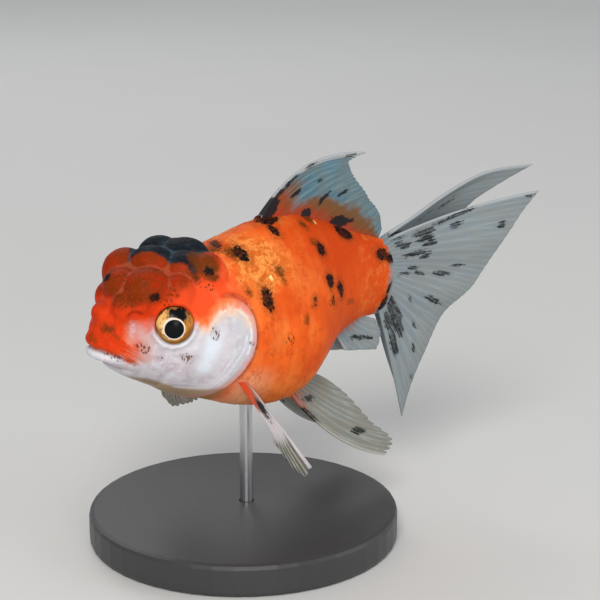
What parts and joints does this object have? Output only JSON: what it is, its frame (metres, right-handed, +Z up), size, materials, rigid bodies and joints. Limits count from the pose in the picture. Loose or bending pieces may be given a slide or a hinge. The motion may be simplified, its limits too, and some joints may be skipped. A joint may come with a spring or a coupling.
{
  "type": "oranda goldfish",
  "caption": "Calico oranda goldfish with a lobed hood, deep round body and divided flowing tail, life size, held in a swimming pose on a rod over a round base.",
  "frame": {"origin": "centre of the stand base's underside", "axes": "+Z up; -X towards the snout and +X towards the tail; -Y towards the fish's left side"},
  "size_m": [0.1316, 0.076, 0.0934],
  "materials": {
    "face": "wet bright orange skin",
    "hood": "wet dark red-orange growth, soft lobes",
    "lip": "wet white skin",
    "pearl": "pearly white gill cover with a lilac sheen",
    "flank": "smooth orange scales with black spots",
    "fin": "milky ribbed membrane, orange at the roots",
    "eye": "glossy, golden iris and black pupil",
    "base": "satin black",
    "rod": "brushed"
  },
  "bodies": {
    "root": {"head": "face", "hood": "hood", "lower_jaw": "lip", "gill_cover_left": "pearl", "gill_cover_right": "pearl", "trunk": "flank", "tail_stem": "flank", "eye_left": "eye", "eye_right": "eye", "dorsal_fin": "fin", "tail_fin_left": "fin", "tail_fin_right": "fin", "pectoral_fin_left": "fin", "pectoral_fin_right": "fin", "pelvic_fin_left": "fin", "pelvic_fin_right": "fin", "anal_fin_left": "fin", "anal_fin_right": "fin", "stand_base": "base", "stand_rod": "rod"}
  },
  "joints": []
}
